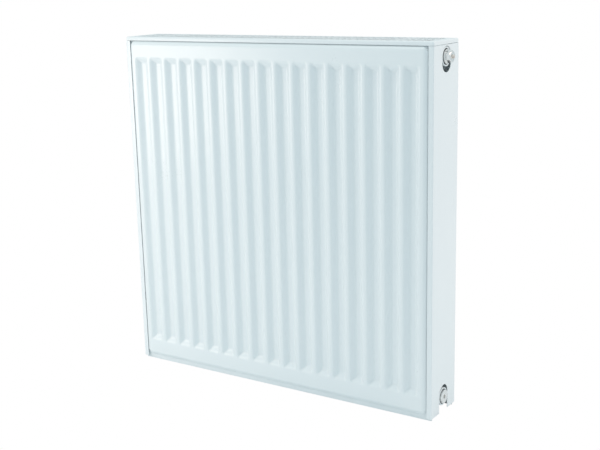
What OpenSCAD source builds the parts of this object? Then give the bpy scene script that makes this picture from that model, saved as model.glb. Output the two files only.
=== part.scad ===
// Double panel radiator with two convectors, removable side covers and top grille.
// The two water panels stand on their bottom weld flanges. X runs along the radiator,
// Y runs from the room to the wall, and Z is up. The origin is the middle of the whole
// object's box, on the floor.

/* [Body] */
// Width over the two side covers
body_w = 605; // [405:100:905]
// Height from the bottom weld flange to the top of the grille
body_h = 605; // [405:100:905]
// Depth of the side covers and of the grille
cover_d = 88; // [84:1:110]

/* [Water panels] */
// Thickness of the pressed water panel sheets
sheet_t = 1.2; // [1.0:0.05:1.3]
// How far a pressed sheet stands out from its weld flange
press_depth = 8; // [6:0.5:9]
// How far a panel's channels stand out past the side cover's lips
crest_proud = 3.5; // [1:0.5:4]
// Width of a flute at the top of its walls
flute_w = 26; // [20:1:27]
// How far a flute's wall leans over its depth
wall_run = 7; // [5:0.5:8]

/* [Ports] */
// Wall radius of the threaded ports, the core of a half inch pipe thread
thread_r = 9.3; // [9.2:0.05:9.4]
// Outer radius of a port's socket
socket_r = 15; // [14:0.5:15]
// Height of the lower ports
port_low_z = 29; // [28:0.5:29.5]
// How much less than the body height the upper and lower ports are apart
port_height_loss = 54; // [54:1:56]

/* [Casing] */
// Thickness of the cover and grille sheet
cover_t = 0.8; // [0.7:0.1:1.0]
// Width of the lips that fold round a side cover's front and back
lip_w = 9; // [7:0.5:9]
// Width of the slots that clear the ports
slot_w = 31; // [30.6:0.2:32]
// Height of the grille's skirt
skirt_h = 6.4; // [5.6:0.2:6.8]

/* [Hanging lugs] */
// Width of a lug
lug_w = 32; // [24:1:36]
// Thickness of a lug's strip
lug_t = 2.5; // [2:0.5:3]
// Gap behind a lug that takes the wall bracket's hook
hook_gap = 5.5; // [5:0.5:8]

/* [Hidden] */
$fn = 64;

// the air vent's reach past the right cover and the lugs' reach past the covers
hex_reach = 9.5;
key_reach = 3;
vent_reach = hex_reach + key_reach;
lug_reach = crest_proud + hook_gap + lug_t;

// the corner of the left cover's front lip, seen from the origin
left_x = -(body_w + vent_reach) / 2;
front_y = -(cover_d + lug_reach - crest_proud) / 2;
mid_d = cover_d / 2;

// water panels, as depths behind the side cover's front lip
pitch = 100 / 3;
end_margin = 5;
channels = round((body_w - end_margin) / pitch);
first_flute_x = body_w / 2 - (channels / 2 - 1) * pitch;
crest_y = -crest_proud;
flange_y = crest_y + press_depth;
weld_y = flange_y + sheet_t;
inner_crest_y = 2 * weld_y - crest_y;
panel_gap = cover_d - 2 * inner_crest_y;
flange_x = 2.2;
rest_gap = 0.3;
panel_h = body_h - cover_t - rest_gap;

// the raised pan of a sheet, where it meets the weld flange
pan_x = 9.5;
pan_low_z = 9.3;
pan_top_z = panel_h - 5.8;
pan_run = 4;

// flutes, at the top of their walls
flute_low_z = 41;
flute_top_z = body_h - 36.5;
flute_end_run = 8.5;

// port tees
top_z = port_low_z + body_h - port_height_loss;
face_x = 0.5;
seat_r = 12.6;
seat_d = 1.6;
thread_l = 14;
waterway_r = 8;
tube_x = 30;
tube_r = 11.5;
tube_bore_r = 9.5;

// convectors
fin_t = 0.6;
fin_depth = 27;
fin_foot = 5.5;
fin_top = 5.5;
fin_low_z = 62;
fin_top_z = body_h - 60;
fin_slope = (pitch / 2 - fin_foot - fin_top) / (fin_depth - fin_t);
fin_wall = fin_t * sqrt(1 + fin_slope * fin_slope);

// side covers
cover_low_z = 4.2;
cover_top_z = body_h - skirt_h - 0.6;
bend_r = 1.4;
slot_r = slot_w / 2;
low_slot_z = 33.8;
top_slot_z = body_h - 33.5;
slot_strip = 2;
top_slot_end_z = cover_top_z - slot_strip - slot_r;

// cover clips
clip_t = 0.6;
clip_l = 18;
clip_reach = 6.7;
clip_play = 0.5;
clip_z = [0.2 * body_h, 0.8 * body_h];

// grille
grille_slot_w = 6.4;
grille_slot_l = 30;
grille_pitch = pitch / 3;
grille_rows = [mid_d - 18, mid_d + 18];
grille_columns = 3 * (channels - 1) + 1;
grille_clip_w = 20;
grille_clip_x = 70;
grille_leg = 5.2;
grille_leg_play = 0.4;

// lugs
lug_foot = 22;
lug_drop = 20;
lug_x = first_flute_x + 1.5 * pitch;
lug_low_z = 0.18 * body_h;
lug_top_z = 0.88 * body_h;

// plugs
plug_under_x = 0.2;
plug_end_x = 13;
plug_play = 0.05;
blank_r = 11.5;
blank_reach = 2.5;
key_socket_r = 3.75;
key_socket_end = 3.5;
vent_flange_r = 11.2;
vent_flange_reach = 1.3;
hex_r = 10;
seal_r = 11.2;
bleed_bore_r = 3;
bleed_bore_end = -1.2;
bleed_waterway_r = 1.2;
outlet_r = 0.8;
outlet_x = -2.2;
outlet_turn = 30;
screw_r = 2.95;
screw_nose_r = 0.95;
screw_nose_x = -2.8;
screw_nose_gap = 0.1;
screw_shank_proud = 0.3;
key_square = 5;
bleed_seal_r = 1.75;
bleed_seal_section = 0.7;
bleed_seal_play = 0.05;

// Places what is drawn from the corner of the left cover's front lip.
module place() {
    translate([left_x, front_y, 0]) children();
}

// Mirrors a piece of the left end to the right end.
module right_end() {
    translate([body_w, 0, 0]) mirror([1, 0, 0]) children();
}

// Mirrors a piece of the front panel to the rear panel.
module rear_side() {
    translate([0, cover_d, 0]) mirror([0, 1, 0]) children();
}

// A cylinder along X between two places.
module bar_x(x0, x1, r, sides = 64) {
    translate([x0, 0, 0]) rotate([0, 90, 0]) cylinder(r = r, h = x1 - x0, $fn = sides);
}

// A cylinder along Y between two places.
module bar_y(y0, y1, r) {
    translate([0, y0, 0]) rotate([-90, 0, 0]) cylinder(r = r, h = y1 - y0);
}

// A ring of round section about the X axis.
module ring_x(x, r, section) {
    translate([x, 0, 0]) rotate([0, 90, 0]) rotate_extrude() translate([r, 0]) circle(r = section);
}

// A profile drawn in depth and height, run along X.
module run_x(length) {
    rotate([90, 0, 90]) linear_extrude(length) children();
}

// A rectangle with round corners.
module round_rect(w, d, r) {
    translate([r, 0]) square([w - 2 * r, d]);
    translate([0, r]) square([w, d - 2 * r]);
    for (x = [r, w - r])
        for (y = [r, d - r])
            translate([x, y]) circle(r = r);
}

// The space in front of a leaning wall: half its width at the weld flange's face is w,
// and it loses run over the press depth. It goes from y0 to y1.
function half_width(w, run, y) = w - run * (flange_y - y) / press_depth;

module taper(middle, w, run, y0, y1) {
    a = half_width(w, run, y0);
    b = half_width(w, run, y1);
    polygon([[middle - a, y0], [middle + a, y0], [middle + b, y1], [middle - b, y1]]);
}

module taper_rise(z0, z1, run, y0, y1) {
    middle = (z0 + z1) / 2;
    a = half_width((z1 - z0) / 2, run, y0);
    b = half_width((z1 - z0) / 2, run, y1);
    polygon([[y0, middle - a], [y0, middle + a], [y1, middle + b], [y1, middle - b]]);
}

// A raised pan from y0 back to y1, drawn smaller all round by inset.
module pan(y0, y1, inset) {
    intersection() {
        linear_extrude(body_h) taper(body_w / 2, body_w / 2 - pan_x - inset, pan_run, y0, y1);
        run_x(body_w) taper_rise(pan_low_z + inset, pan_top_z - inset, pan_run, y0, y1);
    }
}

// The row of flutes from y0 back to y1, drawn larger all round by outset.
module flutes(y0, y1, outset) {
    floor_w = flute_w / 2 - wall_run + outset;
    intersection() {
        linear_extrude(body_h)
            for (i = [0 : channels - 2])
                taper(first_flute_x + i * pitch, floor_w, -wall_run, y0, y1);
        run_x(body_w)
            taper_rise(flute_low_z + flute_end_run - outset,
                       flute_top_z - flute_end_run + outset, -flute_end_run, y0, y1);
    }
}

// One pressed sheet, with its channels towards the front.
module pressed_sheet() {
    pan_inset = sheet_t * sqrt(1 + pow(pan_run / press_depth, 2));
    flute_outset = sheet_t * sqrt(1 + pow(wall_run / press_depth, 2));
    difference() {
        union() {
            translate([flange_x, flange_y, 0])
                cube([body_w - 2 * flange_x, sheet_t, panel_h]);
            pan(crest_y, weld_y, 0);
        }
        difference() {
            pan(crest_y + sheet_t, weld_y + 1, pan_inset);
            flutes(crest_y, weld_y, flute_outset);
        }
        flutes(crest_y - 1, flange_y, 0);
    }
}

// The sheet welded behind it, which faces the convector and has a hole for each tee.
module inner_sheet() {
    difference() {
        translate([0, 2 * weld_y, 0]) mirror([0, 1, 0]) pressed_sheet();
        for (x = [tube_x, body_w - tube_x])
            for (z = [port_low_z, top_z])
                translate([x, 0, z]) bar_y(weld_y + sheet_t, inner_crest_y + 1, waterway_r);
    }
}

module front_outer_sheet() {
    color("white") place() pressed_sheet();
}

module front_inner_sheet() {
    color("whitesmoke") place() inner_sheet();
}

module rear_inner_sheet() {
    color("whitesmoke") place() rear_side() inner_sheet();
}

module rear_outer_sheet() {
    color("white") place() rear_side() pressed_sheet();
}

// Points of a convector's folded outline. Each fold adds a foot and then a fin's top.
function fold_points(rise, foot, top) = [
    for (i = [0 : channels - 1])
        let (x = first_flute_x + (i - 0.5) * pitch)
            for (p = [[x - foot, rise], [x + foot, rise],
                      [x + pitch / 2 - top, rise + fin_depth - fin_t],
                      [x + pitch / 2 + top, rise + fin_depth - fin_t]])
                if (i < channels - 1 || p[1] == rise) p
];

function backwards(points) = [for (i = [len(points) - 1 : -1 : 0]) points[i]];

module convector() {
    lifted_foot = fin_foot + fin_t * fin_slope - fin_wall;
    lifted_top = pitch / 2 - fin_foot - fin_depth * fin_slope + fin_wall;
    translate([0, inner_crest_y, fin_low_z])
        linear_extrude(fin_top_z - fin_low_z)
            polygon(concat(fold_points(0, fin_foot, fin_top),
                           backwards(fold_points(fin_t, lifted_foot, lifted_top))));
}

module front_convector() {
    color("gainsboro") place() convector();
}

module rear_convector() {
    color("gainsboro") place() rear_side() convector();
}

// A tee: the threaded socket at the end and the cross tube between the two panels.
module tee(z) {
    translate([0, mid_d, z])
        difference() {
            union() {
                bar_x(face_x, tube_x, socket_r);
                translate([tube_x, 0, 0]) bar_y(-panel_gap / 2, panel_gap / 2, tube_r);
            }
            bar_x(face_x - 1, face_x + seat_d, seat_r);
            bar_x(face_x, face_x + seat_d + thread_l, thread_r);
            bar_x(face_x, tube_x, waterway_r);
            translate([tube_x, 0, 0])
                bar_y(-panel_gap / 2 - 1, panel_gap / 2 + 1, tube_bore_r);
        }
}

module tee_top_left() {
    color("white") place() tee(top_z);
}

module tee_bottom_left() {
    color("white") place() tee(port_low_z);
}

module tee_top_right() {
    color("white") place() right_end() tee(top_z);
}

module tee_bottom_right() {
    color("white") place() right_end() tee(port_low_z);
}

// A hanging lug: a strip folded twice, with its foot welded to a channel of the rear panel.
module lug(z) {
    translate([lug_x - lug_w / 2, cover_d + crest_proud, z])
        run_x(lug_w)
            polygon([[0, lug_foot], [0, 0], [hook_gap, 0], [hook_gap, -lug_drop],
                     [hook_gap + lug_t, -lug_drop], [hook_gap + lug_t, lug_t],
                     [lug_t, lug_t], [lug_t, lug_foot]]);
}

module lug_top_left() {
    color("white") place() lug(lug_top_z);
}

module lug_bottom_left() {
    color("white") place() lug(lug_low_z);
}

module lug_top_right() {
    color("white") place() right_end() lug(lug_top_z);
}

module lug_bottom_right() {
    color("white") place() right_end() lug(lug_low_z);
}

// A side cover: a shallow channel. A slot clears the upper port, and another, open at the
// bottom, clears the lower one.
module side_cover() {
    difference() {
        translate([0, 0, cover_low_z])
            linear_extrude(cover_top_z - cover_low_z)
                intersection() {
                    difference() {
                        round_rect(4 * lip_w, cover_d, bend_r);
                        translate([cover_t, cover_t])
                            round_rect(4 * lip_w, cover_d - 2 * cover_t, bend_r - cover_t);
                    }
                    square([lip_w, cover_d]);
                }
        translate([0, mid_d, low_slot_z]) bar_x(-1, cover_t + 1, slot_r);
        translate([-1, mid_d - slot_r, 0]) cube([cover_t + 2, slot_w, low_slot_z]);
        translate([0, mid_d, top_slot_z]) bar_x(-1, cover_t + 1, slot_r);
        translate([0, mid_d, top_slot_end_z]) bar_x(-1, cover_t + 1, slot_r);
        translate([-1, mid_d - slot_r, top_slot_z])
            cube([cover_t + 2, slot_w, top_slot_end_z - top_slot_z]);
    }
}

// A spring clip on the cover's inside, which grips the edge of a weld flange.
module cover_clip(z) {
    outside = 2 * (sheet_t + clip_play + clip_t);
    translate([cover_t, weld_y, z - clip_l / 2])
        linear_extrude(clip_l)
            difference() {
                translate([0, -outside / 2]) square([clip_reach, outside]);
                translate([clip_t, clip_t - outside / 2])
                    square([clip_reach, outside - 2 * clip_t]);
            }
}

module cover_clips() {
    for (z = clip_z) {
        cover_clip(z);
        rear_side() cover_clip(z);
    }
}

module left_side_cover() {
    color("white") place() side_cover();
}

module left_cover_clips() {
    color("silver") place() cover_clips();
}

module right_side_cover() {
    color("white") place() right_end() side_cover();
}

module right_cover_clips() {
    color("silver") place() right_end() cover_clips();
}

module grille_slot() {
    straight = grille_slot_l - grille_slot_w;
    translate([-grille_slot_w / 2, -straight / 2]) square([grille_slot_w, straight]);
    for (y = [-straight / 2, straight / 2])
        translate([0, y]) circle(d = grille_slot_w, $fn = 32);
}

// The grille: a shallow tray turned over, with two rows of slots.
module top_grille() {
    color("white") place()
        translate([0, 0, body_h - skirt_h])
            difference() {
                linear_extrude(skirt_h) round_rect(body_w, cover_d, bend_r);
                translate([cover_t, cover_t, -1])
                    linear_extrude(skirt_h - cover_t + 1)
                        round_rect(body_w - 2 * cover_t, cover_d - 2 * cover_t,
                                   bend_r - cover_t);
                translate([0, 0, skirt_h / 2])
                    linear_extrude(skirt_h)
                        for (i = [0 : grille_columns - 1])
                            for (y = grille_rows)
                                translate([body_w / 2 + (i - (grille_columns - 1) / 2)
                                           * grille_pitch, y])
                                    grille_slot();
            }
}

// A clip strip under the grille, with a leg inside each panel's top flange.
module grille_clip() {
    flange_back = weld_y + sheet_t + grille_leg_play;
    translate([grille_clip_x - grille_clip_w / 2, 0, body_h - cover_t])
        run_x(grille_clip_w)
            difference() {
                translate([flange_back, -cover_t - grille_leg])
                    square([cover_d - 2 * flange_back, cover_t + grille_leg]);
                translate([flange_back + clip_t, -cover_t - grille_leg - 1])
                    square([cover_d - 2 * flange_back - 2 * clip_t, grille_leg + 1]);
            }
}

module grille_clip_left() {
    color("silver") place() grille_clip();
}

module grille_clip_right() {
    color("silver") place() right_end() grille_clip();
}

// The air vent's plug: a hexagon head, a flange over the seal and a threaded shank.
module vent_plug() {
    color("lightgrey") place() right_end()
        translate([0, mid_d, top_z])
            difference() {
                union() {
                    bar_x(-hex_reach, -vent_flange_reach, hex_r, 6);
                    bar_x(-vent_flange_reach, plug_under_x, vent_flange_r);
                    bar_x(plug_under_x, plug_end_x, thread_r - plug_play);
                }
                bar_x(-hex_reach - 1, bleed_bore_end, bleed_bore_r);
                bar_x(bleed_bore_end - 1, plug_end_x + 1, bleed_waterway_r);
                translate([outlet_x, 0, 0]) rotate([outlet_turn, 0, 0])
                    cylinder(r = outlet_r, h = 2 * hex_r);
            }
}

module plug_seal(z) {
    section = (face_x + seat_d - plug_under_x) / 2;
    place() right_end()
        translate([0, mid_d, z]) ring_x(plug_under_x + section, seal_r, section);
}

module vent_plug_seal() {
    color("dimgray") plug_seal(top_z);
}

// The bleed screw: a square end for the key, a threaded shank and a nose that carries the seal.
module bleed_screw() {
    square_x = -hex_reach - screw_shank_proud;
    color("tan") place() right_end()
        translate([0, mid_d, top_z]) {
            translate([-vent_reach, -key_square / 2, -key_square / 2])
                cube([square_x + vent_reach, key_square, key_square]);
            bar_x(square_x, screw_nose_x, screw_r);
            bar_x(screw_nose_x, bleed_bore_end - screw_nose_gap, screw_nose_r);
        }
}

module bleed_seal() {
    color("dimgray") place() right_end()
        translate([0, mid_d, top_z])
            ring_x(bleed_bore_end - bleed_seal_section - bleed_seal_play,
                   bleed_seal_r, bleed_seal_section);
}

// The blank plug: a round head with a hexagon socket, and a threaded shank.
module blank_plug() {
    color("silver") place() right_end()
        translate([0, mid_d, port_low_z])
            difference() {
                union() {
                    bar_x(-blank_reach, plug_under_x, blank_r);
                    bar_x(plug_under_x, plug_end_x, thread_r - plug_play);
                }
                bar_x(-blank_reach - 1, key_socket_end, key_socket_r, 6);
            }
}

module blank_plug_seal() {
    color("dimgray") plug_seal(port_low_z);
}

front_outer_sheet();
front_inner_sheet();
rear_inner_sheet();
rear_outer_sheet();
front_convector();
rear_convector();
tee_top_left();
tee_bottom_left();
tee_top_right();
tee_bottom_right();
lug_top_left();
lug_bottom_left();
lug_top_right();
lug_bottom_right();
left_side_cover();
left_cover_clips();
right_side_cover();
right_cover_clips();
top_grille();
grille_clip_left();
grille_clip_right();
vent_plug();
vent_plug_seal();
bleed_screw();
bleed_seal();
blank_plug();
blank_plug_seal();
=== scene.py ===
import math

import bmesh
import bpy
from mathutils import Matrix, Vector


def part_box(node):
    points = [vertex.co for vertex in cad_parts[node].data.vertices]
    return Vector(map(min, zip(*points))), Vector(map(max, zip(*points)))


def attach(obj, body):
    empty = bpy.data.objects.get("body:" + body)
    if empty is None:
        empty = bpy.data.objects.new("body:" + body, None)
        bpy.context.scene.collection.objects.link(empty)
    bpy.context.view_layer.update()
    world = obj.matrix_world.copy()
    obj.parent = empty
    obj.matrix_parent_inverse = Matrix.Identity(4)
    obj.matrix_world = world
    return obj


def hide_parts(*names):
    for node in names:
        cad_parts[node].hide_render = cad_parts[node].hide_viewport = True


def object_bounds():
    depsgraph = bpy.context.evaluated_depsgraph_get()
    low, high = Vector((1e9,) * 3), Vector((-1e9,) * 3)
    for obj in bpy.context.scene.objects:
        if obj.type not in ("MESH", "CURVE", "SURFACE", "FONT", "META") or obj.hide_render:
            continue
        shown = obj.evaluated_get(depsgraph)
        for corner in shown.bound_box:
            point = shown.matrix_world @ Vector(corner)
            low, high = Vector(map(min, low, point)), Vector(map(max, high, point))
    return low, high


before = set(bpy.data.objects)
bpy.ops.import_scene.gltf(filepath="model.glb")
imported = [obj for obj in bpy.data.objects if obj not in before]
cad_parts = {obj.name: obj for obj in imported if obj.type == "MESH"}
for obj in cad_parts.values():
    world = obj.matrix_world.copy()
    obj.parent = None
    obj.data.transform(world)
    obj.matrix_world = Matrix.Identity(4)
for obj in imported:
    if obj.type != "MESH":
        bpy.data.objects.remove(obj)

packed_low, packed_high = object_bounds()


# The view. The onlooker stands to the right of the radiator and well back from it, with the eye
# a little above its top, so that the front, the right end and the edge of the grille show.
eye = Vector((0.96917, -1.4502, 0.70535))
turned_left, tipped_down, leaning = math.radians(33.166), math.radians(13.607), math.radians(1.369)
camera = bpy.data.objects.new("camera", bpy.data.cameras.new("camera"))
camera.data.sensor_width = 36.0
camera.data.lens = 62.064
camera.data.clip_start = 0.05
camera.data.clip_end = 50.0
aim = (Matrix.Rotation(turned_left, 4, "Z")
       @ Matrix.Rotation(math.pi / 2 - tipped_down, 4, "X")
       @ Matrix.Rotation(-leaning, 4, "Z"))
camera.matrix_world = Matrix.Translation(eye) @ aim
bpy.context.scene.collection.objects.link(camera)
bpy.context.scene.camera = camera


# The water panels' outer sheets: low carbon steel 1.2 mm thick, pressed in one stroke so that its
# channels and headers stand 8 mm proud of the flange, then seam welded to the sheet behind along
# that flange. They are dipped, then sprayed with white powder that is baked to a smooth gloss.
MM = 0.001
sheet_thickness = 1.2 * MM
press_depth = 8 * MM
channel_pitch = 100 / 3 * MM
flute_count = 17
flute_half_width = 13.0 * MM
flute_wall_run = 7.0 * MM
flute_end_run = 8.5 * MM
flute_corner = 4 * MM
flute_low_inset = 41 * MM
flute_top_inset = 35.4 * MM
pan_side_inset = 5.8 * MM
pan_low_inset = 9.0 * MM
pan_top_inset = 4.5 * MM
pan_run = 5.0 * MM
pan_corner = 11 * MM
pan_foot, pan_shoulder = 0.3, 0.7
flute_foot, flute_shoulder = 0.3, 0.3
bend_margin = 2.5 * MM
edge_margin = 0.2 * MM
flute_end_before = 5 * MM
flute_end_beyond = 20 * MM
straight_inset = 90 * MM
straight_rows = 7
outer_columns_per_channel = 24
crisp_angle = math.radians(35)
peel_scale = 380.0
drift_scale = 14.0
paint_white = (0.84, 0.90, 0.92)
paint_cool = (0.82, 0.885, 0.91)


class Value:
    """A socket's value, so that shader arithmetic is written as an expression."""

    def __init__(self, finish, socket):
        self.finish = finish
        self.socket = socket

    def __add__(self, other):
        return self.finish.maths("ADD", self, other)

    __radd__ = __add__

    def __sub__(self, other):
        return self.finish.maths("SUBTRACT", self, other)

    def __rsub__(self, other):
        return self.finish.maths("SUBTRACT", other, self)

    def __mul__(self, other):
        return self.finish.maths("MULTIPLY", self, other)

    __rmul__ = __mul__


class Finish:
    """The node tree of a material, or of the surroundings, built one node at a time."""

    def __init__(self, owner):
        self.owner = owner
        owner.use_nodes = True
        self.tree = owner.node_tree
        self.tree.nodes.clear()

    def node(self, kind, settings=None, sockets=None, output=0):
        """Adds a node: its settings first, then what its sockets hold. Gives one of its outputs."""
        made = self.tree.nodes.new(kind)
        for key, setting in (settings or {}).items():
            setattr(made, key, setting)
        for key, value in (sockets or {}).items():
            if isinstance(value, Value):
                self.tree.links.new(value.socket, made.inputs[key])
            else:
                made.inputs[key].default_value = value
        return Value(self, made.outputs[output]) if len(made.outputs) else None

    def maths(self, operation, *values):
        """One sum on numbers, by a Math node's name for it."""
        return self.node("ShaderNodeMath", {"operation": operation}, dict(enumerate(values)))

    def noise(self, place, scale, detail):
        """A cloudy pattern from 0 to 1."""
        return self.node("ShaderNodeTexNoise", {}, {
            "Vector": place, "Scale": scale, "Detail": detail})

    def between(self, share, first, second):
        """A colour that goes from the first to the second as share goes from 0 to 1."""
        return self.node("ShaderNodeMix", {"data_type": "RGBA", "clamp_factor": True},
                         {0: share, 6: (*first, 1.0), 7: (*second, 1.0)}, output=2)

    def bumps(self, height, depth):
        """A surface's small relief: its height from 0 to 1, and its depth in metres."""
        return self.node("ShaderNodeBump", {}, {"Height": height, "Distance": depth},
                         output="Normal")

    def surface(self, **sockets):
        """The shader and the output. A name's underscores stand for its spaces."""
        named = {key.replace("_", " "): value for key, value in sockets.items()}
        shader = self.node("ShaderNodeBsdfPrincipled", {}, named)
        self.node("ShaderNodeOutputMaterial", {}, {"Surface": shader})
        return self.owner


def powder_coat(name, white, cool, roughness, peel_depth):
    """Baked powder paint: a faint orange peel, and a tone that drifts a little over the sheet."""
    finish = Finish(bpy.data.materials.new(name))
    place = finish.node("ShaderNodeTexCoord", output="Object")
    peel = finish.noise(place, peel_scale, detail=1.0)
    drift = finish.noise(place, drift_scale, detail=3.0)
    return finish.surface(
        Base_Color=finish.between(drift, white, cool),
        Roughness=roughness + 0.10 * (drift - 0.5) + 0.04 * (peel - 0.5),
        Specular_IOR_Level=0.5,
        Normal=finish.bumps(peel, peel_depth))


def rounded_step(share, foot, shoulder):
    """Goes from 0 to 1 as share does, with its lower and its upper corner rounded."""
    if share <= -foot:
        return 0.0
    if share < foot:
        return (share + foot) ** 2 / (4 * foot)
    if share <= 1 - shoulder:
        return share
    if share < 1 + shoulder:
        return 1 - (1 + shoulder - share) ** 2 / (4 * shoulder)
    return 1.0


def depth_inside(across, along, half_across, half_along, corner):
    """How far a place lies inside a rectangle with round corners."""
    past_across = abs(across) - half_across + corner
    past_along = abs(along) - half_along + corner
    outside = math.hypot(max(past_across, 0.0), max(past_along, 0.0))
    return corner - outside - min(max(past_across, past_along), 0.0)


def spread(start, stop, count):
    """Evenly spaced values from start to stop, both included, with count gaps."""
    return [start + (stop - start) * i / count for i in range(count + 1)]


def press_lines(low, high, steps):
    """Where the mesh of a pressed sheet has its lines: close together at each bend."""
    middle = (low.x + high.x) / 2
    edge = (high.x - low.x) / 2
    across = [middle + (i / steps - (flute_count + 1) / 2) * channel_pitch
              for i in range((flute_count + 1) * steps + 1)]
    across = [low.x] + [x for x in across if abs(x - middle) < edge - edge_margin] + [high.x]
    bend, end = steps // 3, steps // 2
    pan_low, pan_top = low.z + pan_low_inset, high.z - pan_top_inset
    flute_low, flute_top = low.z + flute_low_inset, high.z - flute_top_inset
    up = (
        [low.z]
        + spread(pan_low - bend_margin, pan_low + pan_corner, bend)
        + spread(flute_low - flute_end_before, flute_low + flute_end_beyond, end)
        + spread(low.z + straight_inset, high.z - straight_inset, straight_rows)
        + spread(flute_top - flute_end_beyond, flute_top + flute_end_before, end)
        + spread(pan_top - pan_corner, pan_top + bend_margin, bend)
        + [high.z]
    )
    return across, up


def press_height(x, z, low, high):
    """How far a pressed sheet stands out from its flange at a place."""
    middle = (low.x + high.x) / 2
    pan_low, pan_top = low.z + pan_low_inset, high.z - pan_top_inset
    pan_depth = depth_inside(x - middle, z - (pan_low + pan_top) / 2,
                             (high.x - low.x) / 2 - pan_side_inset, (pan_top - pan_low) / 2,
                             pan_corner)
    pan = rounded_step(pan_depth / pan_run, pan_foot, pan_shoulder)
    number = round((x - middle) / channel_pitch)
    number = max(-(flute_count // 2), min(flute_count // 2, number))
    flute_low, flute_top = low.z + flute_low_inset, high.z - flute_top_inset
    squash = flute_wall_run / flute_end_run
    flute_depth = depth_inside(x - middle - number * channel_pitch,
                               (z - (flute_low + flute_top) / 2) * squash,
                               flute_half_width, (flute_top - flute_low) / 2 * squash,
                               flute_corner)
    flute = rounded_step(flute_depth / flute_wall_run, flute_foot, flute_shoulder)
    return press_depth * (pan - flute)


def settled(piece):
    """Applies the piece's modifiers, then shades it smooth except over its crisp edges."""
    graph = bpy.context.evaluated_depsgraph_get()
    shape = bpy.data.meshes.new_from_object(piece.evaluated_get(graph))
    piece.modifiers.clear()
    piece.data = shape
    shape.shade_smooth()
    shape.set_sharp_from_angle(angle=crisp_angle)
    return piece


def new_piece(name, shape, material):
    """Puts a mesh in the scene under a name, in its material."""
    piece = bpy.data.objects.new(name, shape)
    bpy.context.scene.collection.objects.link(piece)
    shape.materials.append(material)
    return piece


def thickened(piece, thickness, side):
    """Gives a surface its thickness: side is -1 behind it, 1 in front of it and 0 both ways."""
    solid = piece.modifiers.new("thickness", "SOLIDIFY")
    solid.thickness = thickness
    solid.offset = side
    solid.use_even_offset = True
    return piece


def pressed_sheet(name, node, faces, steps, material):
    """A pressed sheet in a CAD node's place. Faces is -1 where its channels point to -Y."""
    low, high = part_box(node)
    across, up = press_lines(low, high, steps)
    flange = (high.y if faces < 0 else low.y) + faces * sheet_thickness
    mesh = bmesh.new()
    rows = [[mesh.verts.new((x, flange + faces * press_height(x, z, low, high), z))
             for x in across] for z in up]
    for lower, upper in zip(rows, rows[1:]):
        for i in range(len(across) - 1):
            corners = (lower[i], lower[i + 1], upper[i + 1], upper[i])
            mesh.faces.new(corners if faces < 0 else corners[::-1])
    shape = bpy.data.meshes.new(name)
    mesh.to_mesh(shape)
    mesh.free()
    piece = new_piece(name, shape, material)
    return thickened(piece, sheet_thickness, -1)


panel_paint = powder_coat("panel_paint", paint_white, paint_cool,
                          roughness=0.30, peel_depth=0.06 * MM)
for node, faces in (("front_outer_sheet", -1), ("rear_outer_sheet", 1)):
    outer = settled(pressed_sheet(node + "_pressing", node, faces, outer_columns_per_channel,
                                  panel_paint))
    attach(outer, "radiator")
    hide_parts(node)


# The inner sheets: the same pressing turned round and welded behind an outer sheet, so that each
# pair of channels makes a waterway. Near each corner a hole lets the water into a tee.
waterway_radius = 8 * MM
tube_radius = 11.5 * MM
inner_columns_per_channel = 14
inner_paint = powder_coat("inner_panel_paint", (0.80, 0.86, 0.88), (0.78, 0.845, 0.87),
                          roughness=0.38, peel_depth=0.05 * MM)


def rod(middle, axis, radius, length, sides=48):
    """A plain round bar, used as a drill. The axis is X, Y or Z."""
    mesh = bmesh.new()
    turn = {"X": Matrix.Rotation(math.pi / 2, 4, "Y"), "Y": Matrix.Rotation(math.pi / 2, 4, "X"),
            "Z": Matrix.Identity(4)}[axis]
    bmesh.ops.create_cone(mesh, cap_ends=True, segments=sides, radius1=radius, radius2=radius,
                          depth=length, matrix=Matrix.Translation(middle) @ turn)
    shape = bpy.data.meshes.new("rod")
    mesh.to_mesh(shape)
    mesh.free()
    return shape


def cut_or_joined(piece, operation, *tools):
    """Cuts each tool's shape out of the piece, or joins it on, and removes the tool."""
    for shape in tools:
        tool = bpy.data.objects.new("tool", shape)
        bpy.context.scene.collection.objects.link(tool)
        step = piece.modifiers.new("step", "BOOLEAN")
        step.operation = operation
        step.solver = "EXACT"
        step.object = tool
        graph = bpy.context.evaluated_depsgraph_get()
        made = bpy.data.meshes.new_from_object(piece.evaluated_get(graph))
        piece.modifiers.clear()
        piece.data = made
        bpy.data.objects.remove(tool)
    return piece


for node, faces in (("front_inner_sheet", 1), ("rear_inner_sheet", -1)):
    inner = pressed_sheet(node + "_pressing", node, faces, inner_columns_per_channel,
                          inner_paint)
    low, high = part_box(node)
    holes = []
    for tee in ("tee_top_left", "tee_bottom_left", "tee_top_right", "tee_bottom_right"):
        tee_low, tee_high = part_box(tee)
        tube_x = tee_high.x - tube_radius if tee.endswith("left") else tee_low.x + tube_radius
        middle = (tube_x, (low.y + high.y) / 2, (tee_low.z + tee_high.z) / 2)
        holes.append(rod(middle, "Y", waterway_radius, 4 * (high.y - low.y)))
    settled(cut_or_joined(inner, "DIFFERENCE", *holes))
    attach(inner, "radiator")
    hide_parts(node)


# The convectors: 0.6 mm steel strip, folded into fins behind each panel and spot welded to the
# inner sheet's channels. Air rises between the fins, so their ends are open.
fin_thickness = 0.6 * MM
fin_foot = 5.5 * MM
fin_bend = 1.2 * MM
same_place = 1e-7
fold_slack = 1e-8
convector_paint = powder_coat("convector_paint", (0.78, 0.84, 0.86), (0.76, 0.825, 0.85),
                              roughness=0.42, peel_depth=0.04 * MM)


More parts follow.
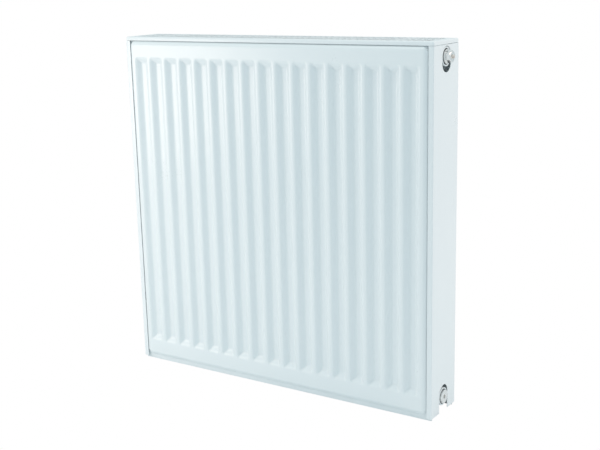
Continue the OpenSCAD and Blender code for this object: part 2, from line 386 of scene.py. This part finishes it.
def bent_line(points, radius, steps=4):
    """The points joined by straight runs, with each corner rounded to the radius."""
    line = [Vector(points[0])]
    for before, corner, after in zip(points, points[1:], points[2:]):
        before, corner, after = Vector(before), Vector(corner), Vector(after)
        inward, outward = (before - corner).normalized(), (after - corner).normalized()
        half = inward.angle(outward) / 2
        reach = radius / math.tan(half)
        middle = corner + (inward + outward).normalized() * (radius / math.sin(half))
        start, stop = corner + inward * reach - middle, corner + outward * reach - middle
        swing = start.angle_signed(stop)
        for i in range(steps + 1):
            turn = Matrix.Rotation(-swing * i / steps, 2)
            line.append(middle + turn @ start)
    return line + [Vector(points[-1])]


def folded(name, outline, line, placed, thickness, material):
    """A punched blank folded along a line. The outline is in millimetres along the line and
    across it, and placed turns a point of the line and a distance across it into a place."""
    mesh = bmesh.new()
    mesh.faces.new([mesh.verts.new((along, across, 0.0)) for along, across in outline])
    lengths = [0.0]
    for first, second in zip(line, line[1:]):
        lengths.append(lengths[-1] + (second - first).length)
    for length in lengths[1:-1]:
        everything = mesh.verts[:] + mesh.edges[:] + mesh.faces[:]
        bmesh.ops.bisect_plane(mesh, geom=everything, dist=same_place, plane_co=(length, 0, 0),
                               plane_no=(1, 0, 0))
    for vert in mesh.verts:
        i = 0
        while i < len(lengths) - 2 and vert.co.x > lengths[i + 1] + fold_slack:
            i += 1
        share = (vert.co.x - lengths[i]) / (lengths[i + 1] - lengths[i])
        point = line[i].lerp(line[i + 1], share)
        vert.co = placed(point, vert.co.y)
    shape = bpy.data.meshes.new(name)
    mesh.to_mesh(shape)
    mesh.free()
    return thickened(new_piece(name, shape, material), thickness, 0)


def line_length(line):
    """The length of a blank that is folded along the line."""
    return sum((second - first).length for first, second in zip(line, line[1:]))


def plain_blank(line, low, high):
    """A rectangular blank."""
    length = line_length(line)
    return [(0.0, low), (length, low), (length, high), (0.0, high)]


for node, faces in (("front_convector", 1), ("rear_convector", -1)):
    low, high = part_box(node)
    weld = (low.y if faces > 0 else high.y) + faces * fin_thickness / 2
    crown = (high.y if faces > 0 else low.y) - faces * fin_thickness / 2
    points = []
    for i in range(flute_count + 1):
        foot_x = low.x + fin_foot + i * channel_pitch
        points += [(foot_x - fin_foot, weld), (foot_x + fin_foot, weld)]
        if i < flute_count:
            crown_x = foot_x + channel_pitch / 2
            points += [(crown_x - fin_foot, crown), (crown_x + fin_foot, crown)]
    line = bent_line(points, fin_bend)
    convector = folded(node + "_fins", plain_blank(line, low.z, high.z), line,
                       lambda point, z: (point.x, point.y, z), fin_thickness, convector_paint)
    settled(convector)
    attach(convector, "radiator")
    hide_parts(node)


# The tees: forged steel. Each has a half inch pipe socket that faces the radiator's end and a
# cross tube that feeds both panels. The socket's face has a seat for a plug's sealing ring.
socket_radius = 15 * MM
seat_radius = 12.6 * MM
seat_depth = 1.6 * MM
thread_core = 9.3 * MM
thread_pitch = 1.814 * MM
thread_depth = 1.1 * MM
thread_length = 14 * MM
thread_relief = 0.2 * MM
thread_steps = 56
thread_fade_steps = 6
socket_rim = 0.5 * MM
seat_chamfer = 0.3 * MM
socket_back = -34 * MM
socket_back_radius = 8 * MM
socket_cone_start = -29 * MM
socket_cone_radius = 13.2 * MM
socket_body_start = -25 * MM
socket_bore_bottom = -29.5 * MM
tube_bore = 9.5 * MM
tube_sides = 64
fitting_white = (0.83, 0.89, 0.91)
fitting_cool = (0.81, 0.875, 0.90)
tee_paint = powder_coat("tee_paint", fitting_white, fitting_cool,
                        roughness=0.32, peel_depth=0.05 * MM)


def thread_wave(along, angle):
    """From 0 to 1 along a helix: 1 at a socket's crest, which meets a shank's root. Looking into
    a right-hand port the helix is right-handed, and into a left-hand port it is left-handed."""
    return 0.5 + 0.5 * math.cos(2 * math.pi * along / thread_pitch - angle)


def lathed(name, section, middle, outward, material, sides=72):
    """A turned piece about an axis along X. The section gives, for an angle, the (reach, radius)
    points of a closed outline, with reach counted along X in the outward sense."""
    mesh = bmesh.new()
    rings = []
    for i in range(sides):
        angle = 2 * math.pi * i / sides
        rings.append([mesh.verts.new((middle[0] + outward * reach,
                                      middle[1] + radius * math.cos(angle),
                                      middle[2] + radius * math.sin(angle)))
                      for reach, radius in section(angle)])
    for ring, following in zip(rings, rings[1:] + rings[:1]):
        count = len(ring)
        for j in range(count):
            k = (j + 1) % count
            mesh.faces.new((ring[j], ring[k], following[k], following[j]))
    bmesh.ops.remove_doubles(mesh, verts=mesh.verts[:], dist=same_place)
    bmesh.ops.recalc_face_normals(mesh, faces=mesh.faces[:])
    shape = bpy.data.meshes.new(name)
    mesh.to_mesh(shape)
    mesh.free()
    return new_piece(name, shape, material)


def socket_section(angle):
    """The outline of a tee's socket, from its axis along the back, the outside and the bore."""
    bore_start = -seat_depth
    bore_end = -seat_depth - thread_length
    rounding = 0.3 * socket_rim
    outside = [(socket_back, 0.0), (socket_back, socket_back_radius),
               (socket_cone_start, socket_cone_radius), (socket_body_start, socket_radius),
               (-socket_rim, socket_radius), (-rounding, socket_radius - rounding),
               (0.0, socket_radius - socket_rim)]
    seat = [(0.0, seat_radius + seat_chamfer), (-seat_chamfer, seat_radius),
            (bore_start, seat_radius), (bore_start, thread_core + thread_depth + thread_relief)]
    thread = []
    for i in range(thread_steps + 1):
        along = bore_start + (bore_end - bore_start) * i / thread_steps
        fade = min(1.0, (thread_steps - i) / thread_fade_steps)
        groove = thread_depth * fade * (1 - thread_wave(along, angle))
        thread.append((along, thread_core + groove))
    bottom = [(bore_end, waterway_radius), (socket_bore_bottom, waterway_radius),
              (socket_bore_bottom, 0.0)]
    return outside + seat + thread + bottom


for node in ("tee_top_left", "tee_bottom_left", "tee_top_right", "tee_bottom_right"):
    low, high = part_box(node)
    outward = -1 if node.endswith("left") else 1
    face_x = low.x if outward < 0 else high.x
    tube_x = high.x - tube_radius if outward < 0 else low.x + tube_radius
    middle = Vector((face_x, (low.y + high.y) / 2, (low.z + high.z) / 2))
    tube_middle = Vector((tube_x, middle.y, middle.z))
    width = high.y - low.y
    tee = lathed(node + "_forging", socket_section, middle, outward, tee_paint)
    cut_or_joined(tee, "UNION", rod(tube_middle, "Y", tube_radius, width, tube_sides))
    cut_or_joined(tee, "DIFFERENCE", rod(tube_middle, "Y", tube_bore, 2 * width, tube_sides))
    settled(tee)
    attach(tee, "radiator")
    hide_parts(node)


# The hanging lugs: 2.5 mm steel strip, folded twice. The foot is welded to a channel of the rear
# panel, and the plate hangs behind it with room for a wall bracket's hook in between.
lug_thickness = 2.5 * MM
lug_bend = 2.2 * MM
lug_corner = 4 * MM
lug_foot_height = 22 * MM
lug_edge_width = 0.35 * MM
blank_corner_steps = 5
lug_paint = powder_coat("lug_paint", fitting_white, fitting_cool,
                        roughness=0.34, peel_depth=0.05 * MM)


def rounded_blank(line, low, high, corner):
    """A blank with round corners."""
    length = line_length(line)
    outline = []
    for along, across, quarter in ((length - corner, low + corner, -1),
                                   (length - corner, high - corner, 0),
                                   (corner, high - corner, 1), (corner, low + corner, 2)):
        for i in range(blank_corner_steps + 1):
            angle = (quarter + i / blank_corner_steps) * math.pi / 2
            outline.append((along + corner * math.cos(angle), across + corner * math.sin(angle)))
    return outline


for node in ("lug_top_left", "lug_bottom_left", "lug_top_right", "lug_bottom_right"):
    low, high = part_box(node)
    half = lug_thickness / 2
    shelf_z = high.z - lug_foot_height + half
    line = bent_line([(low.y + half, high.z), (low.y + half, shelf_z),
                      (high.y - half, shelf_z), (high.y - half, low.z)], lug_bend)
    lug = folded(node + "_strip", rounded_blank(line, low.x, high.x, lug_corner), line,
                 lambda point, x: (x, point.x, point.y), lug_thickness, lug_paint)
    edge = lug.modifiers.new("edge", "BEVEL")
    edge.width = lug_edge_width
    edge.segments = 2
    edge.limit_method = "ANGLE"
    edge.angle_limit = math.radians(60)
    settled(lug)
    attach(lug, "radiator")
    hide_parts(node)


# The side covers: 0.8 mm steel sheet, powder coated. Each is punched with two slots that clear the
# ports, the lower one open at the foot, then folded into a shallow channel whose lips lie in front
# of and behind the panels' flanges.
cover_thickness = 0.8 * MM
cover_bend = 1.2 * MM
slot_radius = 15.5 * MM
low_slot_arc = 29.6 * MM
top_slot_low_arc = 26.5 * MM
top_slot_top_arc = 17.5 * MM
slot_end_steps = 24
cover_white = (0.85, 0.905, 0.925)
cover_cool = (0.83, 0.89, 0.915)
cover_paint = powder_coat("side_cover_paint", cover_white, cover_cool,
                          roughness=0.30, peel_depth=0.05 * MM)


def slotted_blank(line, low, high):
    """The blank of a side cover: a long strip with a round-ended slot open at its foot."""
    length = line_length(line)
    centre = length / 2
    outline = [(0.0, low), (centre - slot_radius, low)]
    for angle in spread(math.pi, 0.0, slot_end_steps):
        outline.append((centre + slot_radius * math.cos(angle),
                        low + low_slot_arc + slot_radius * math.sin(angle)))
    return outline + [(centre + slot_radius, low), (length, low), (length, high), (0.0, high)]


def slot_punch(low, high):
    """A round-ended block, used to punch a cover's upper slot."""
    mesh = bmesh.new()
    ring = []
    middle_y = (low.y + high.y) / 2
    for centre_z, start in ((high.z - top_slot_top_arc, 0.0),
                            (high.z - top_slot_low_arc, math.pi)):
        for angle in spread(start, start + math.pi, slot_end_steps):
            ring.append((middle_y + slot_radius * math.cos(angle),
                         centre_z + slot_radius * math.sin(angle)))
    ends = [[mesh.verts.new((x, y, z)) for y, z in ring] for x in (low.x - MM, high.x + MM)]
    for i in range(len(ring)):
        k = (i + 1) % len(ring)
        mesh.faces.new((ends[0][i], ends[0][k], ends[1][k], ends[1][i]))
    mesh.faces.new(ends[0][::-1])
    mesh.faces.new(ends[1])
    bmesh.ops.recalc_face_normals(mesh, faces=mesh.faces[:])
    shape = bpy.data.meshes.new("punch")
    mesh.to_mesh(shape)
    mesh.free()
    return shape


for node, body in (("left_side_cover", "left_cover"), ("right_side_cover", "right_cover")):
    low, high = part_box(node)
    plate, lip = (low.x, high.x) if body == "left_cover" else (high.x, low.x)
    half = cover_thickness / 2
    plate += half if body == "left_cover" else -half
    line = bent_line([(lip, low.y + half), (plate, low.y + half),
                      (plate, high.y - half), (lip, high.y - half)], cover_bend, 5)
    cover = folded(node + "_folding", slotted_blank(line, low.z, high.z), line,
                   lambda point, z: (point.x, point.y, z), cover_thickness, cover_paint)
    settled(cut_or_joined(cover, "DIFFERENCE", slot_punch(low, high)))
    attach(cover, body)
    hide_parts(node)


# The cover clips: thin sprung steel, zinc plated. Four on each cover grip the edges of the
# panels' flanges, with jaws that pinch a little and flare at their mouths.
clip_thickness = 0.6 * MM
clip_length = 18 * MM
cover_clip_bend = 0.7 * MM
cover_clip_corner = 1.5 * MM
jaw_slack = 0.5 * MM
jaw_neck = 4.2 * MM
jaw_pinch = 0.35 * MM
crystal_scale = 700.0
zinc_cloud_scale = 120.0
zinc_bright = (0.60, 0.62, 0.64)
zinc_dull = (0.48, 0.50, 0.53)


def zinc_plate(name):
    """Bright zinc: a fine crystal pattern and a faint blue cast."""
    finish = Finish(bpy.data.materials.new(name))
    place = finish.node("ShaderNodeTexCoord", output="Object")
    crystal = finish.node("ShaderNodeTexVoronoi", {"feature": "F1"},
                          {"Vector": place, "Scale": crystal_scale})
    cloud = finish.noise(place, zinc_cloud_scale, detail=3.0)
    return finish.surface(
        Base_Color=finish.between(cloud, zinc_bright, zinc_dull),
        Metallic=1.0,
        Roughness=0.30 + 0.25 * crystal + 0.10 * (cloud - 0.5),
        Normal=finish.bumps(cloud, depth=0.04 * MM))


clip_zinc = zinc_plate("clip_zinc")
for node, body, inward in (("left_cover_clips", "left_cover", 1),
                           ("right_cover_clips", "right_cover", -1)):
    low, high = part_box(node)
    back, mouth = (low.x, high.x) if inward > 0 else (high.x, low.x)
    half = clip_thickness / 2
    jaw = sheet_thickness + jaw_slack + half
    neck = back + inward * jaw_neck
    bridge = back + inward * half
    whole = None
    for z in (low.z + clip_length / 2, high.z - clip_length / 2):
        for weld in (low.y + jaw + half, high.y - jaw - half):
            line = bent_line([(mouth, weld - jaw), (neck, weld - jaw + jaw_pinch),
                              (bridge, weld - jaw), (bridge, weld + jaw),
                              (neck, weld + jaw - jaw_pinch), (mouth, weld + jaw)],
                             cover_clip_bend)
            blank = rounded_blank(line, z - clip_length / 2, z + clip_length / 2, cover_clip_corner)
            clip = folded("clip", blank, line, lambda point, height: (point.x, point.y, height),
                          clip_thickness, clip_zinc)
            settled(clip)
            mesh = bmesh.new()
            if whole:
                mesh.from_mesh(whole)
            mesh.from_mesh(clip.data)
            whole = bpy.data.meshes.new(node)
            mesh.to_mesh(whole)
            mesh.free()
            bpy.data.objects.remove(clip)
    clips = settled(new_piece(node + "_springs", whole, clip_zinc))
    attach(clips, body)
    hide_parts(node)


# The top grille: 0.8 mm sheet with two rows of punched slots that let the warm air out. Its edge
# is drawn down all round into a skirt that hides the panels' top flanges.
grille_bend = 2.4 * MM
grille_corner = 3 * MM
grille_slot_width = 6.4 * MM
grille_slot_length = 30 * MM
grille_pitch = channel_pitch / 3
grille_columns = 52
grille_row_offset = 18 * MM
grille_bend_steps = 5
grille_corner_steps = 6
grille_paint = powder_coat("grille_paint", cover_white, cover_cool,
                           roughness=0.30, peel_depth=0.05 * MM)


def oblong(middle_x, middle_y, half_x, half_y, corner):
    """The outline of a rectangle with round corners, anticlockwise."""
    outline = []
    for side_x, side_y, quarter in ((1, -1, -1), (1, 1, 0), (-1, 1, 1), (-1, -1, 2)):
        for i in range(grille_corner_steps + 1):
            angle = (quarter + i / grille_corner_steps) * math.pi / 2
            outline.append((middle_x + side_x * (half_x - corner) + corner * math.cos(angle),
                            middle_y + side_y * (half_y - corner) + corner * math.sin(angle)))
    return outline


low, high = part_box("top_grille")
middle_x, middle_y = (low.x + high.x) / 2, (low.y + high.y) / 2
half_x, half_y = (high.x - low.x) / 2, (high.y - low.y) / 2
mesh = bmesh.new()
levels = [(low.z, 0.0)]
for angle in spread(0.0, math.pi / 2, grille_bend_steps):
    levels.append((high.z - grille_bend * (1 - math.sin(angle)), grille_bend * (1 - math.cos(angle))))
loops = []
for height, inset in levels:
    outline = oblong(middle_x, middle_y, half_x - inset, half_y - inset, grille_corner - inset)
    loops.append([mesh.verts.new((x, y, height)) for x, y in outline])
for lower, upper in zip(loops, loops[1:]):
    for i in range(len(lower)):
        k = (i + 1) % len(lower)
        mesh.faces.new((lower[i], lower[k], upper[k], upper[i]))
for row_y in (middle_y - grille_row_offset, middle_y + grille_row_offset):
    for i in range(grille_columns):
        slot_x = middle_x + (i - (grille_columns - 1) / 2) * grille_pitch
        outline = oblong(slot_x, row_y, grille_slot_width / 2, grille_slot_length / 2,
                         grille_slot_width / 2)
        hole = [mesh.verts.new((x, y, high.z)) for x, y in outline]
        for pair in zip(hole, hole[1:] + hole[:1]):
            mesh.edges.new(pair)
bmesh.ops.remove_doubles(mesh, verts=mesh.verts[:], dist=same_place)
rim = [edge for edge in mesh.edges
       if len(edge.link_faces) < 2 and min(vert.co.z for vert in edge.verts) > high.z - same_place]
bmesh.ops.triangle_fill(mesh, use_beauty=True, use_dissolve=False, edges=rim, normal=(0, 0, 1))
bmesh.ops.recalc_face_normals(mesh, faces=mesh.faces[:])
shape = bpy.data.meshes.new("top_grille_tray")
mesh.to_mesh(shape)
mesh.free()
grille = thickened(new_piece("top_grille_tray", shape, grille_paint), cover_thickness, -1)
settled(grille)
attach(grille, "grille")
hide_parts("top_grille")


# The grille clips: two strips of the same sprung steel, spot welded under the grille, with a leg
# down inside each panel's top flange.
grille_clip_bend = 1.0 * MM
grille_clip_corner = 2 * MM
for node in ("grille_clip_left", "grille_clip_right"):
    low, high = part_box(node)
    half = clip_thickness / 2
    line = bent_line([(low.y + half, low.z), (low.y + half, high.z - half),
                      (high.y - half, high.z - half), (high.y - half, low.z)],
                     grille_clip_bend)
    clip = folded(node + "_strip", rounded_blank(line, low.x, high.x, grille_clip_corner), line,
                  lambda point, x: (x, point.x, point.y), clip_thickness, clip_zinc)
    settled(clip)
    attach(clip, "grille")
    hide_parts(node)


# The air vent's plug: nickel plated brass, turned from hexagon bar. The head's corners are
# chamfered, a round flange covers the sealing ring, and a small hole lets the air out.
hexagon_corner = 10 * MM
vent_flange_radius = 11.2 * MM
vent_flange_reach = 1.3 * MM
vent_bore = 3 * MM
vent_bore_end = 1.2 * MM
vent_edge = 0.3 * MM
vent_crown_inset = 0.4 * MM
vent_passage = 1.2 * MM
head_chamfer = math.tan(math.radians(28))
outlet_radius = 0.8 * MM
outlet_reach = 2.2 * MM
outlet_sides = 24
seal_room = 0.2 * MM
shank_radius = 9.25 * MM
shank_thread_depth = 0.55 * MM
shank_steps = 48
ring_frequency = 26000.0
ring_share = 0.3
plating_cloud_scale = 260.0
nickel_bright = (0.93, 0.93, 0.92)
nickel_dull = (0.84, 0.84, 0.83)
nickel_roughness = 0.26


def turned_metal(name, bright, dull, roughness, middle):
    """Plated and turned metal: fine rings about the piece's axis, and a faint cloud."""
    finish = Finish(bpy.data.materials.new(name))
    place = finish.node("ShaderNodeTexCoord", output="Object")
    moved = finish.node("ShaderNodeVectorMath", {"operation": "SUBTRACT"}, {0: place, 1: middle})
    flat = finish.node("ShaderNodeVectorMath", {"operation": "MULTIPLY"},
                       {0: moved, 1: (0, 1, 1)})
    radius = finish.node("ShaderNodeVectorMath", {"operation": "LENGTH"}, {0: flat},
                         output="Value")
    rings = finish.maths("SINE", radius * ring_frequency)
    cloud = finish.noise(place, plating_cloud_scale, detail=3.0)
    return finish.surface(
        Base_Color=finish.between(cloud, bright, dull),
        Metallic=1.0,
        Roughness=roughness + 0.12 * (cloud - 0.5) + 0.03 * rings,
        Normal=finish.bumps(rings * ring_share + cloud, depth=0.01 * MM))


def hexagon(angle, corner):
    """A hexagon's radius at an angle, with a corner straight up."""
    folded_angle = (angle - math.pi / 2 + math.pi / 6) % (math.pi / 3) - math.pi / 6
    return corner * math.cos(math.pi / 6) / math.cos(math.pi / 6 - abs(folded_angle))


def shank_outline(start, end, angle):
    """A plug's threaded shank, from under its head to its end."""
    outline = []
    for i in range(shank_steps + 1):
        along = start + (end - start) * i / shank_steps
        fade = min(1.0, i / thread_fade_steps, (shank_steps - i) / thread_fade_steps)
        groove = shank_thread_depth * fade * thread_wave(along, angle)
        outline.append((along, shank_radius - groove))
    return outline


low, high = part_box("vent_plug")
middle = Vector((high.x, (low.y + high.y) / 2, (low.z + high.z) / 2))
plate_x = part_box("right_side_cover")[1].x
under_flange = plate_x - seal_room
plug_end = low.x


def vent_section(angle):
    """The outline of the vent plug, with reach counted from the face of its head."""
    corner = hexagon(angle, hexagon_corner)
    flat = hexagon_corner * math.cos(math.pi / 6)
    crown = flat - vent_crown_inset
    flange = plate_x + vent_flange_reach - middle.x
    under = under_flange - middle.x
    end = plug_end - middle.x
    bore_end = plate_x + vent_bore_end - middle.x
    face = [(bore_end, vent_bore), (-vent_edge, vent_bore), (0.0, vent_bore + vent_edge),
            (0.0, crown), (-(corner - crown) * head_chamfer, corner)]
    foot = [(flange + (corner - flat) * head_chamfer * 0.5, corner), (flange, corner),
            (flange, vent_flange_radius - vent_edge), (flange - vent_edge, vent_flange_radius),
            (under, vent_flange_radius), (under, shank_radius)]
    passage = [(end, vent_passage), (bore_end, vent_passage)]
    return face + foot + shank_outline(under, end, angle) + passage


nickel = turned_metal("plug_nickel", nickel_bright, nickel_dull, nickel_roughness, middle)
vent = lathed("vent_plug_turning", vent_section, middle, 1, nickel)
outlet_x = plate_x + outlet_reach
outlet_axis = Vector((0, -math.sin(math.pi / 6), math.cos(math.pi / 6)))
drill = rod((0, 0, 0), "Z", outlet_radius, 2 * hexagon_corner, outlet_sides)
drill.transform(Matrix.Translation((outlet_x, middle.y, middle.z))
                @ outlet_axis.to_track_quat("Z", "X").to_matrix().to_4x4()
                @ Matrix.Translation((0, 0, hexagon_corner)))
cut_or_joined(vent, "DIFFERENCE", drill)
settled(vent)
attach(vent, "radiator")
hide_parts("vent_plug")


# The blank plug: the same plated brass, turned from round bar. Its head is rounded off at the rim
# and has a hexagon socket for a key.
blank_radius = 11.5 * MM
blank_rim = 0.9 * MM
blank_rim_middle = 0.25 * MM
key_socket_corner = 3.75 * MM
key_socket_depth = 6 * MM
key_socket_mouth = 0.5 * MM
key_socket_chamfer = 0.4 * MM
key_socket_floor_share = 0.9
low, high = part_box("blank_plug")
middle = Vector((high.x, (low.y + high.y) / 2, (low.z + high.z) / 2))


def blank_section(angle):
    """The outline of the blank plug, with reach counted from the face of its head."""
    key = hexagon(angle, key_socket_corner)
    under = under_flange - middle.x
    end = low.x - middle.x
    head = [(-key_socket_depth, 0.0), (-key_socket_depth, key * key_socket_floor_share),
            (-key_socket_depth + key_socket_mouth, key), (-key_socket_chamfer, key),
            (0.0, key_socket_corner + key_socket_mouth), (0.0, blank_radius - blank_rim),
            (-blank_rim_middle, blank_radius - blank_rim_middle), (-blank_rim, blank_radius),
            (under, blank_radius), (under, shank_radius)]
    return head + shank_outline(under, end, angle) + [(end, 0.0)]


blank_nickel = turned_metal("blank_plug_nickel", nickel_bright, nickel_dull, nickel_roughness,
                            middle)
blank = settled(lathed("blank_plug_turning", blank_section, middle, 1, blank_nickel))
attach(blank, "radiator")
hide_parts("blank_plug")


# The sealing rings: moulded black rubber, one under each plug's head in the socket's seat, and a
# small one on the bleed screw's nose that shuts the vent.
plug_seal_radius = 0.95 * MM
bleed_seal_radius = 0.7 * MM
seal_section_sides = 24
seal_sides = 96
grain_scale = 2400.0
bloom_scale = 160.0
rubber_black = (0.012, 0.012, 0.013)
rubber_bloom = (0.035, 0.035, 0.037)


def moulded_rubber(name):
    """Black rubber: matt, with a fine mould grain and a grey bloom."""
    finish = Finish(bpy.data.materials.new(name))
    place = finish.node("ShaderNodeTexCoord", output="Object")
    grain = finish.noise(place, grain_scale, detail=2.0)
    bloom = finish.noise(place, bloom_scale, detail=3.0)
    return finish.surface(
        Base_Color=finish.between(bloom, rubber_black, rubber_bloom),
        Roughness=0.55 + 0.20 * (bloom - 0.5),
        Normal=finish.bumps(grain, depth=0.03 * MM))


seal_rubber = moulded_rubber("seal_rubber")
for node, body, section in (("vent_plug_seal", "radiator", plug_seal_radius),
                            ("blank_plug_seal", "radiator", plug_seal_radius),
                            ("bleed_seal", "bleed_seal", bleed_seal_radius)):
    low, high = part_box(node)
    middle = (low + high) / 2
    ring_radius = (high.z - low.z) / 2 - section

    def ring_section(angle):
        """A plain round section, the same at every angle."""
        outline = []
        for i in range(seal_section_sides):
            turn = 2 * math.pi * i / seal_section_sides
            outline.append((section * math.sin(turn), ring_radius + section * math.cos(turn)))
        return outline

    ring = settled(lathed(node + "_ring", ring_section, middle, 1, seal_rubber, seal_sides))
    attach(ring, body)
    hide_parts(node)


# The bleed screw: brass, with a 5 mm square end for the key, a screwdriver's slot across it, and
# a nose that carries the small seal.
key_square = 5 * MM
square_chamfer = 0.4 * MM
square_length = 2.7 * MM
screw_radius = 2.95 * MM
nose_radius = 0.95 * MM
nose_reach = 2.8 * MM
square_corner_share = 0.65
slot_depth, slot_width = 1.2 * MM, 0.9 * MM
slot_cutter_length = 9 * MM
slot_angle = math.radians(35)
brass_bright = (0.93, 0.85, 0.79)
brass_dull = (0.85, 0.76, 0.69)
brass_roughness = 0.34
low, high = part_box("bleed_screw")
middle = Vector((high.x, (low.y + high.y) / 2, (low.z + high.z) / 2))


def square(angle, width):
    """The radius at an angle of a square whose corners are rounded a little."""
    turned = (angle + math.pi / 4) % (math.pi / 2) - math.pi / 4
    return min(width / 2 / math.cos(turned), width * square_corner_share)


def screw_section(angle):
    """The outline of the bleed screw, with reach counted from its square end's face."""
    side = square(angle, key_square)
    end = low.x - middle.x
    nose = plate_x - middle.x + nose_reach
    return [(0.0, 0.0), (0.0, side - square_chamfer), (-square_chamfer, side),
            (-square_length, side), (-square_length, screw_radius), (nose, screw_radius),
            (nose, nose_radius), (end, nose_radius), (end, 0.0)]


brass = turned_metal("bleed_brass", brass_bright, brass_dull, brass_roughness, middle)
screw = lathed("bleed_screw_turning", screw_section, middle, 1, brass)
slot_cutter = bpy.data.meshes.new("slot")
mesh = bmesh.new()
bmesh.ops.create_cube(mesh, size=1.0, matrix=Matrix.Translation(middle)
                      @ Matrix.Rotation(slot_angle, 4, "X")
                      @ Matrix.Diagonal((2 * slot_depth, slot_cutter_length, slot_width, 1.0)))
mesh.to_mesh(slot_cutter)
mesh.free()
cut_or_joined(screw, "DIFFERENCE", slot_cutter)
settled(screw)
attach(screw, "bleed_screw")
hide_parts("bleed_screw")


# The studio: a plain white floor that runs out of sight, cool white surroundings, and three soft
# lamps: a small warm one in front at the left, a broad warm one behind at the right, and a broad
# white one above.
floor_radius = 14.0
floor_drop = 0.5 * MM
surroundings_tint = (0.86, 0.965, 1.0, 1.0)
surroundings_strength = 0.74
lamps_aim = Vector((0, 0, 0.3))
floor_shape = bpy.data.meshes.new("floor")
mesh = bmesh.new()
bmesh.ops.create_circle(mesh, cap_ends=True, segments=64, radius=floor_radius)
mesh.to_mesh(floor_shape)
mesh.free()


def white_floor():
    """Plain white, shown without the object's shadow and lit like a matt white board."""
    finish = Finish(bpy.data.materials.new("studio_white"))
    seen = finish.node("ShaderNodeLightPath", output="Is Camera Ray")
    glow = finish.node("ShaderNodeEmission", {}, {"Color": (1, 1, 1, 1), "Strength": 1.0})
    board = finish.node("ShaderNodeBsdfDiffuse", {}, {"Color": (0.92, 0.94, 0.95, 1.0)})
    both = finish.node("ShaderNodeMixShader", {}, {0: seen, 1: board, 2: glow})
    finish.node("ShaderNodeOutputMaterial", {}, {"Surface": both})
    return finish.owner


floor = new_piece("floor", floor_shape, white_floor())
floor.location.z = packed_low.z - floor_drop

surroundings = Finish(bpy.data.worlds.new("studio"))
seen = surroundings.node("ShaderNodeLightPath", output="Is Camera Ray")
around = surroundings.node("ShaderNodeBackground", {}, {
    "Color": surroundings_tint, "Strength": surroundings_strength})
backdrop = surroundings.node("ShaderNodeBackground", {}, {"Color": (1, 1, 1, 1), "Strength": 1.0})
mixed = surroundings.node("ShaderNodeMixShader", {}, {0: seen, 1: around, 2: backdrop})
surroundings.node("ShaderNodeOutputWorld", {}, {"Surface": mixed})
bpy.context.scene.world = surroundings.owner
bpy.context.scene.view_settings.view_transform = "Standard"

for name, place, size, power, tint in (
        ("left_lamp", (-0.66, -0.60, 0.46), 0.4, 1.85, (1.0, 0.84, 0.76)),
        ("right_lamp", (1.6, 0.6, 1.2), 0.8, 7.6, (1.0, 0.77, 0.68)),
        ("top_lamp", (-0.1, -0.3, 1.8), 0.8, 3.2, (1.0, 0.99, 0.91))):
    lamp = bpy.data.objects.new(name, bpy.data.lights.new(name, "AREA"))
    lamp.data.shape = "DISK"
    lamp.data.size = size
    lamp.data.energy = power
    lamp.data.color = tint
    lamp.location = place
    lamp.rotation_euler = (lamps_aim - lamp.location).to_track_quat("-Z", "Y").to_euler()
    bpy.context.scene.collection.objects.link(lamp)
